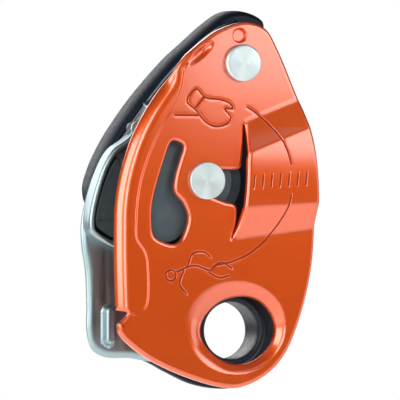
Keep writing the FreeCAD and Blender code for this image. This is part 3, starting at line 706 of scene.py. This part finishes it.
# ------------------------------------------------------------------ other pieces
def make_fixed_plate():
    """Dark back plate with its drawn collar."""
    low, high = FIXED_LOW[1], FIXED_HIGH[1]
    face = high - 3.0
    outline = smooth(FIXED_OUTLINE, True, 0.7)
    holes = [round_loop((0, 0), 9.0, 0.5), round_loop(AXLE, 4.5, 0.5), round_loop(PIVOT, 4.0, 0.5)]
    plate = sheet_piece("fixed_plate", outline, holes, (flat_at(face),) * 2, 3.0,
                        ((0.6, 0.6), (0.6, 0.6)), (2.5, 2.5))
    rim = rounded_corner(11.3, low, 1.0, 1.0)
    inner = [(9.0, face + 0.4), (9.0, low + 1.0), (9.3, low + 0.3), (10.0, low)]
    foot = [(11.3, face - 0.8), (12.0, face - 0.1), (12.0, face + 0.4)]
    collar = turned_ring("collar", (0, 0), inner + rim + foot)
    return joined("fixed_plate", [plate, collar])


def turned_ring(name, centre, profile, count=128):
    """Lathe ring: a closed profile of (radius, y) pairs."""
    vertices, faces = [], []
    turn = np.linspace(0, 2 * math.pi, count, endpoint=False)
    for radius, y in profile:
        vertices.append(np.column_stack([radius * np.cos(turn), np.full(count, y), radius * np.sin(turn)]))
    rings = len(profile)
    for ring in range(rings):
        low = np.arange(ring * count, (ring + 1) * count)
        high = np.arange(((ring + 1) % rings) * count, ((ring + 1) % rings + 1) * count)
        faces += strip(low, high, False)
    item = add_mesh(name, np.vstack(vertices), faces)
    item.location = (centre[0] * MM, 0, centre[1] * MM)
    return item


def rib_height(x, z):
    """Long round-ended rib on the friction plate."""
    reach = np.clip(z, -2.6, 5.8)
    radius = np.hypot(x + 38.0, z - reach)
    return 2.9 * (1 - ease((radius - 1.0) / 1.6))


def make_friction_plate():
    """Stainless plate with its rope wall, anvil and rib."""
    face = FRICTION_HIGH[1] - 1.5
    outline = smooth(FRICTION_OUTLINE, True, 0.5)
    window = smooth(BLOCK_OUTLINE, True, 0.5)
    base = sheet_piece("friction_base", outline, [window], (raised(face, rib_height),) * 2, 1.5,
                       ((2.4, 1.25), (0.3, 0.2)), (0.6, 0.8), steps=7)
    wall_top = FRICTION_LOW[1] + 3.7
    wall = swept_ridge("wall", smooth(WALL_LINE, False, 0.4), ridge_section(wall_top, face))
    anvil = swept_ridge("anvil", smooth(ANVIL_LINE, False, 0.5), ridge_section(FRICTION_LOW[1], face))
    return joined("friction_plate_formed", [base, wall, anvil])


def ridge_section(top, foot):
    """Section of a rope wall: rounded top, foot sunk in the base."""
    half, spread = 0.9, 1.0
    section = [(-half, foot + 0.6), (-half, top + half)]
    for step in range(1, 8):
        turn = math.pi * step / 8
        section.append((-half * math.cos(turn), top + half - half * math.sin(turn)))
    section += [(half, top + half), (half, foot - spread)]
    section += [(half + spread * 0.3, foot - 0.3), (half + 0.9, foot + 0.6)]
    return section


def make_block():
    """Dark moulding inside the rope wall's loop."""
    low, high = node_box("friction_backing_block")
    surfaces = (raised(low[1], block_groove), flat_at(low[1]))
    return sheet_piece("backing_block", smooth(BLOCK_OUTLINE, True, 0.5), [], surfaces,
                       high[1] - low[1], ((0.5, 0.5), (0.2, 0.2)), (0.4, 2.0))


def block_groove(x, z):
    """Line across the block."""
    return -0.5 * (1 - ease(np.abs(z - 34.6) / 0.5))


LEVER_CELLS = [[(-37.2, 50.6), (-33.6, 57.6), (-28.6, 58.2), (-32.0, 50.4)],
               [(-32.0, 60.2), (-23.4, 71.6), (-16.4, 68.8), (-27.4, 60.4)],
               [(-21.6, 73.6), (-8.8, 86.2), (0.6, 79.6), (-13.6, 70.4)],
               [(-6.6, 88.2), (6.4, 97.4), (13.0, 92.4), (3.0, 81.8)]]
CELL_EDGES = [even(np.array(cell), True, 0.8) for cell in LEVER_CELLS]
CELL_TREE = tree_of(np.vstack(CELL_EDGES))


def cell_depth(x, z):
    """The lever's hollow cells, as a depth below its front."""
    points = np.column_stack([x, z])
    within = np.zeros(len(points), bool)
    for edge in CELL_EDGES:
        within |= inside(points, edge)
    distance, _ = nearest(points, CELL_TREE)
    return np.where(within, -9.6 * ease(distance / 0.7), 0.0)


def hinge_tube(name, radius, bore, first, last):
    """Ring about the hinge's leaning axis, between two distances up it."""
    profile = [(bore, 0), (radius - 0.5, 0), (radius, 0.5), (radius, last - first - 0.5),
               (radius - 0.5, last - first), (bore, last - first)]
    tube = turned_ring(name, (0, 0), profile, 64)
    up = Vector(frame_joint("handle_unfold")["axis"])
    place = Vector(frame_joint("handle_unfold")["pos_m"])
    tube.rotation_euler = up.to_track_quat("Y", "X").to_euler()
    tube.location = place + up * first * MM
    return tube


def make_lever():
    """Moulded lever: rounded back, hollow cells on the inner side, and its hinge barrel."""
    front = LEVER_LOW[1]
    rows = thinned(np.vstack([rows_beside(edge, (-0.7, -0.35, 0.0, 0.35)) for edge in CELL_EDGES]), 0.2)
    body = sheet_piece("lever_body", smooth(LEVER_OUTLINE, True, 0.6), [],
                       (raised(front, cell_depth), flat_at(front)), LEVER_HIGH[1] - front,
                       ((2.0, 6.5), (1.2, 1.2)), (1.2, 1.6), rows, steps=9)
    return joined("lever_body", [body, hinge_tube("lever_barrel", 3.7, 1.7, 2.7, 7.7)])


def make_heads():
    """Rivet head and axle head, with softly rounded rims."""
    rivet_profile = [(0.01, RIVET_LOW[1]), (4.6, RIVET_LOW[1] + 0.03), (4.8, RIVET_LOW[1] + 0.04)]
    rivet_profile += rounded_corner(5.85, RIVET_LOW[1] + 0.12, 0.75, 1.0)
    rivet_profile += [(5.85, PLATE_FRONT - 0.1), (4.0, PLATE_FRONT - 0.1), (4.0, FIXED_HIGH[1]),
                      (5.6, FIXED_HIGH[1]), (5.5, RIVET_HIGH[1] - 0.1), (5.3, RIVET_HIGH[1]),
                      (0.01, RIVET_HIGH[1])]
    rivet = turned_piece("pivot_rivet", PIVOT, rivet_profile)
    axle_profile = [(0.01, AXLE_LOW[1]), (5.2, AXLE_LOW[1]), (5.35, AXLE_LOW[1])]
    axle_profile += rounded_corner(5.8, AXLE_LOW[1], 0.35, 1.0)
    axle_profile += [(5.8, PLATE_FRONT - 0.4), (5.6, PLATE_FRONT - 0.15), (3.2, PLATE_FRONT - 0.15),
                     (3.2, PLATE_FRONT + 2.8), (4.5, PLATE_FRONT + 2.8), (4.5, 15.8), (3.7, 15.8),
                     (3.7, 16.8), (4.5, 16.8), (4.5, 17.2), (4.2, AXLE_HIGH[1]), (0.01, AXLE_HIGH[1])]
    axle = turned_piece("axle_turned", AXLE, axle_profile)
    return rivet, axle


# ------------------------------------------------------------------ materials
def shader(name, colour, metallic, roughness):
    """Material with one shader, returned with its node tree and the shader node."""
    material = bpy.data.materials.new(name)
    material.use_nodes = True
    tree = material.node_tree
    node = tree.nodes["Principled BSDF"]
    node.inputs["Base Color"].default_value = (*colour, 1)
    node.inputs["Metallic"].default_value = metallic
    node.inputs["Roughness"].default_value = roughness
    return material, tree, node


def noise(tree, scale, detail=4.0, stretch=(1, 1, 1)):
    """Noise in the object's own coordinates."""
    place = tree.nodes.new("ShaderNodeTexCoord")
    mapping = tree.nodes.new("ShaderNodeMapping")
    mapping.inputs["Scale"].default_value = stretch
    texture = tree.nodes.new("ShaderNodeTexNoise")
    texture.inputs["Scale"].default_value = scale
    texture.inputs["Detail"].default_value = detail
    tree.links.new(place.outputs["Object"], mapping.inputs["Vector"])
    tree.links.new(mapping.outputs["Vector"], texture.inputs["Vector"])
    return texture


def map_range(tree, source, low, high):
    """Noise turned into a range of values."""
    node = tree.nodes.new("ShaderNodeMapRange")
    node.inputs["From Min"].default_value = 0.3
    node.inputs["From Max"].default_value = 0.7
    node.inputs["To Min"].default_value = low
    node.inputs["To Max"].default_value = high
    tree.links.new(source, node.inputs["Value"])
    return node.outputs["Result"]


def bump(tree, node, source, strength, distance):
    """Bump from a texture."""
    item = tree.nodes.new("ShaderNodeBump")
    item.inputs["Strength"].default_value = strength
    item.inputs["Distance"].default_value = distance
    tree.links.new(source, item.inputs["Height"])
    tree.links.new(item.outputs["Normal"], node.inputs["Normal"])


def tint(tree, node, source, dark, light):
    """Colour that varies between two shades."""
    mix = tree.nodes.new("ShaderNodeMix")
    mix.data_type = "RGBA"
    mix.inputs["A"].default_value = (*dark, 1)
    mix.inputs["B"].default_value = (*light, 1)
    tree.links.new(source, mix.inputs["Factor"])
    tree.links.new(mix.outputs["Result"], node.inputs["Base Color"])


def orange_anodised():
    """Dyed anodised aluminium: warm base under a clear, faintly brushed skin."""
    material, tree, node = shader("orange_anodised", (0.8, 0.094, 0.003), 0.75, 0.42)
    node.inputs["Specular IOR Level"].default_value = 0.0
    node.inputs["Coat Weight"].default_value = 1.0
    node.inputs["Coat Roughness"].default_value = 0.17
    node.inputs["Coat IOR"].default_value = 2.0
    broad = noise(tree, 60, 2)
    tint(tree, node, broad.outputs["Fac"], (0.776, 0.091, 0.003), (0.824, 0.097, 0.003))
    brushed = noise(tree, 2200, 3, (0.03, 1, 1))
    tree.links.new(map_range(tree, brushed.outputs["Fac"], 0.38, 0.46), node.inputs["Roughness"])
    bump(tree, node, brushed.outputs["Fac"], 0.03, 0.00005)
    return material


def satin_steel(name, colour, roughness, scale=500, stretch=(1, 1, 0.08), metallic=1.0):
    """Satin metal with a fine grain, drawn out along one axis unless told otherwise."""
    material, tree, node = shader(name, colour, metallic, roughness)
    grain = noise(tree, scale, 4, stretch)
    dark = tuple(c * 0.86 for c in colour)
    light = tuple(min(1, c * 1.1) for c in colour)
    tint(tree, node, grain.outputs["Fac"], dark, light)
    varied = map_range(tree, grain.outputs["Fac"], roughness - 0.07, roughness + 0.09)
    tree.links.new(varied, node.inputs["Roughness"])
    bump(tree, node, grain.outputs["Fac"], 0.12, 0.0001)
    return material


def turned_steel():
    """Faced steel: fine rings about the piece's own axis, with a fan-shaped sheen painted into the base
    colour.
    """
    material, tree, node = shader("turned_steel", (0.80, 0.86, 0.86), 1.0, 0.5)
    place = tree.nodes.new("ShaderNodeTexCoord")
    rings = tree.nodes.new("ShaderNodeTexWave")
    rings.wave_type = "RINGS"
    rings.rings_direction = "Y"
    rings.inputs["Scale"].default_value = 1400
    rings.inputs["Distortion"].default_value = 1.5
    rings.inputs["Detail"].default_value = 3
    tree.links.new(place.outputs["Object"], rings.inputs["Vector"])
    bump(tree, node, rings.outputs["Fac"], 0.1, 0.00005)
    # Painted sheen: a sine of the angle about the axis lightens and darkens the base colour in fans, standing
    # in for reflections.
    split = tree.nodes.new("ShaderNodeSeparateXYZ")
    tree.links.new(place.outputs["Object"], split.inputs["Vector"])
    turn = tree.nodes.new("ShaderNodeMath")
    turn.operation = "ARCTAN2"
    tree.links.new(split.outputs["Z"], turn.inputs[0])
    tree.links.new(split.outputs["X"], turn.inputs[1])
    painted_sheen_angle = tree.nodes.new("ShaderNodeMath")
    painted_sheen_angle.operation = "MULTIPLY_ADD"
    painted_sheen_angle.inputs[1].default_value = 3.0
    painted_sheen_angle.inputs[2].default_value = 0.7
    tree.links.new(turn.outputs["Value"], painted_sheen_angle.inputs[0])
    painted_fan_sheen = tree.nodes.new("ShaderNodeMath")
    painted_fan_sheen.operation = "SINE"
    tree.links.new(painted_sheen_angle.outputs["Value"], painted_fan_sheen.inputs[0])
    mottled = noise(tree, 260, 4)
    share = tree.nodes.new("ShaderNodeMath")
    share.operation = "MULTIPLY_ADD"
    share.inputs[1].default_value = 0.22
    tree.links.new(painted_fan_sheen.outputs["Value"], share.inputs[0])
    tree.links.new(mottled.outputs["Fac"], share.inputs[2])
    # The base colour carries the painted fan sheen together with random mottling.
    tint(tree, node, share.outputs["Value"], (0.54, 0.63, 0.63), (0.78, 0.86, 0.86))
    tree.links.new(map_range(tree, mottled.outputs["Fac"], 0.46, 0.56), node.inputs["Roughness"])
    return material


def dark_finish(name, colour, roughness, gloss, grain_scale, strength):
    """Dyed or moulded surface: a plain colour with a fine grain."""
    material, tree, node = shader(name, colour, 0.0, roughness)
    node.inputs["Specular IOR Level"].default_value = gloss
    grain = noise(tree, grain_scale, 5)
    tint(tree, node, grain.outputs["Fac"], tuple(c * 0.8 for c in colour), tuple(c * 1.25 for c in colour))
    varied = map_range(tree, grain.outputs["Fac"], roughness - 0.05, roughness + 0.08)
    tree.links.new(varied, node.inputs["Roughness"])
    bump(tree, node, grain.outputs["Fac"], strength, 0.0001)
    return material


def give(item, material):
    """Put one material on an object."""
    item.data.materials.clear()
    item.data.materials.append(material)


def give_node(name, material):
    """Put a material in every slot of a CAD node."""
    item = frame["nodes"][name]
    for slot in item.material_slots:
        slot.material = material


def place_piece(item, body, node, material):
    """Give a piece its material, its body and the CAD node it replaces."""
    give(item, material)
    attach(item, body)
    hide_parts(node)


# ------------------------------------------------------------------ build
ORANGE = orange_anodised()
# Darker orange painted into the bottoms of the grooves as their shade.
GROOVE_SHADE = satin_steel("orange_groove_shade", (0.30, 0.03, 0.002), 0.55, 900, (1, 1, 1), 0.3)
STEEL = satin_steel("stainless_satin", (0.36, 0.46, 0.48), 0.36)
CAM_STEEL = satin_steel("cam_satin", (0.09, 0.13, 0.145), 0.42, 420, (1, 1, 1), 0.5)
TURNED = turned_steel()
SPRING = satin_steel("spring_wire", (0.30, 0.31, 0.33), 0.3, 800, (1, 1, 1))
BRONZE = satin_steel("bronze_bush", (0.42, 0.25, 0.10), 0.4, 700, (1, 1, 1))
DARK_PLATE = dark_finish("dark_anodised", (0.008, 0.012, 0.020), 0.42, 0.3, 900, 0.06)
DARK_NYLON = dark_finish("dark_nylon", (0.005, 0.010, 0.019), 0.45, 0.2, 700, 0.15)
DARK_BLOCK = dark_finish("dark_block", (0.045, 0.062, 0.068), 0.45, 0.5, 700, 0.3)
HUB_COAT = dark_finish("hub_coating", (0.02, 0.024, 0.03), 0.4, 0.6, 800, 0.2)
ACETAL = dark_finish("acetal", (0.75, 0.74, 0.70), 0.45, 0.5, 500, 0.1)


moving_plate = make_moving_plate()
place_piece(moving_plate, "swing_plate", "moving_side_plate", ORANGE)
# The grooves' bottom faces take the darker orange: painted shade.
moving_plate.data.materials.append(GROOVE_SHADE)
shade_groove_faces(moving_plate, 0.2)
place_piece(make_fixed_plate(), "frame", "fixed_side_plate", DARK_PLATE)
place_piece(make_friction_plate(), "frame", "friction_plate", STEEL)
place_piece(make_block(), "frame", "friction_backing_block", DARK_BLOCK)
place_piece(make_lever(), "lever", "handle_lever", DARK_NYLON)
rivet_piece, axle_piece = make_heads()
place_piece(rivet_piece, "frame", "plate_pivot_rivet", TURNED)
place_piece(axle_piece, "frame", "cam_axle", TURNED)
for node, material in (("plate_pivot_spacer", TURNED), ("plate_pivot_washer", ACETAL),
                       ("friction_plate_rivets", TURNED), ("cam", CAM_STEEL), ("cam_bush", BRONZE),
                       ("cam_front_washer", CAM_STEEL), ("cam_drive_pin", TURNED),
                       ("cam_return_spring", SPRING), ("handle_hub", HUB_COAT),
                       ("handle_hinge_pin", TURNED), ("handle_fold_spring", SPRING),
                       ("handle_hub_bush", BRONZE), ("axle_retaining_ring", SPRING),
                       ("handle_hub_cap", DARK_NYLON)):
    give_node(node, material)


# ------------------------------------------------------------------ stage, camera and light
VIEW_AZIMUTH = math.radians(-20.0)
VIEW_DISTANCE = 4000.0
VIEW_AIM = (-13.0, PLATE_FRONT, 40.9)
VIEW_HEIGHT = 125.0
FLOOR_DROP = 60.0
FLOOR_REACH = 0.6


def make_camera():
    """Long lens, level with the object, from its front left."""
    data = bpy.data.cameras.new("camera")
    camera = bpy.data.objects.new("camera", data)
    bpy.context.scene.collection.objects.link(camera)
    back = Vector((math.sin(VIEW_AZIMUTH), -math.cos(VIEW_AZIMUTH), 0))
    camera.location = (Vector(VIEW_AIM) + back * VIEW_DISTANCE) * MM
    camera.rotation_euler = (math.pi / 2, 0, VIEW_AZIMUTH)
    data.sensor_fit = "VERTICAL"
    data.sensor_height = 36.0
    data.lens = 36.0 * VIEW_DISTANCE / VIEW_HEIGHT
    data.clip_start = 0.05
    data.clip_end = 20
    bpy.context.scene.camera = camera


def make_floor():
    """Plain pale floor, faintly lit from within, well below the hanging device."""
    level = cad_bounds[0][2] - FLOOR_DROP * MM
    size = FLOOR_REACH
    mesh = bpy.data.meshes.new("floor")
    mesh.from_pydata([(-size, -size, level), (size, -size, level), (size, size, level), (-size, size, level)],
                     [], [(0, 1, 2, 3)])
    floor = bpy.data.objects.new("floor", mesh)
    bpy.context.scene.collection.objects.link(floor)
    material, tree, node = shader("pale_floor", (0.85, 0.85, 0.85), 0.0, 0.8)
    node.inputs["Emission Color"].default_value = (1, 1, 1, 1)
    node.inputs["Emission Strength"].default_value = 0.6
    give(floor, material)


def area_light(name, place, aim, size, brightness, colour=(1, 1, 1)):
    """Soft rectangular light that faces a point; places in mm, brightness of its own face."""
    data = bpy.data.lights.new(name, "AREA")
    data.shape = "RECTANGLE"
    data.size, data.size_y = size[0] * MM, size[1] * MM
    data.energy = brightness * math.pi * data.size * data.size_y
    data.color = colour
    light = bpy.data.objects.new(name, data)
    light.location = Vector(place) * MM
    direction = Vector(aim) * MM - light.location
    light.rotation_euler = direction.to_track_quat("-Z", "Y").to_euler()
    bpy.context.scene.collection.objects.link(light)
    return light


def make_world():
    """White to the camera; a soft grey studio to everything else."""
    world = bpy.data.worlds.new("studio")
    bpy.context.scene.world = world
    world.use_nodes = True
    tree = world.node_tree
    tree.nodes.clear()
    output = tree.nodes.new("ShaderNodeOutputWorld")
    mix = tree.nodes.new("ShaderNodeMixShader")
    rays = tree.nodes.new("ShaderNodeLightPath")
    white = tree.nodes.new("ShaderNodeBackground")
    white.inputs["Color"].default_value = (1, 1, 1, 1)
    white.inputs["Strength"].default_value = 1.0
    studio = tree.nodes.new("ShaderNodeBackground")
    place = tree.nodes.new("ShaderNodeTexCoord")
    split = tree.nodes.new("ShaderNodeSeparateXYZ")
    levels = tree.nodes.new("ShaderNodeValToRGB")
    scale = tree.nodes.new("ShaderNodeMapRange")
    scale.inputs["From Min"].default_value = -1
    scale.inputs["From Max"].default_value = 1
    tree.links.new(place.outputs["Generated"], split.inputs["Vector"])
    tree.links.new(split.outputs["Z"], scale.inputs["Value"])
    tree.links.new(scale.outputs["Result"], levels.inputs["Fac"])
    stops = levels.color_ramp.elements
    stops[0].position, stops[0].color = 0.0, (0.20, 0.21, 0.22, 1)
    stops[1].position, stops[1].color = 1.0, (0.10, 0.11, 0.12, 1)
    middle = stops.new(0.5)
    middle.color = (0.04, 0.045, 0.05, 1)
    tree.links.new(levels.outputs["Color"], studio.inputs["Color"])
    studio.inputs["Strength"].default_value = 0.5
    tree.links.new(rays.outputs["Is Camera Ray"], mix.inputs["Fac"])
    tree.links.new(studio.outputs["Background"], mix.inputs[1])
    tree.links.new(white.outputs["Background"], mix.inputs[2])
    tree.links.new(mix.outputs["Shader"], output.inputs["Surface"])


make_camera()
make_floor()
make_world()
CENTRE = (-11, 0, 41)
# Name, place and size in mm, brightness.
LIGHTS = [("key_front_right", (150, -200, 136), (210, 132), 3.3),
          ("front_strip", (-215, -340, 130), (110, 300), 4.8),
          ("left_soft", (-400, -110, 130), (330, 300), 4.2),
          ("under_front", (110, -330, -210), (240, 120), 1.6),
          ("right_soft", (400, -120, 10), (160, 260), 1.6),
          ("over_head", (40, -260, 420), (320, 160), 0.6),
          ("behind", (-90, 430, 185), (460, 300), 2.6)]
for light_name, place, size, brightness in LIGHTS:
    area_light(light_name, place, CENTRE, size, brightness)
bpy.context.scene.view_settings.view_transform = "Standard"
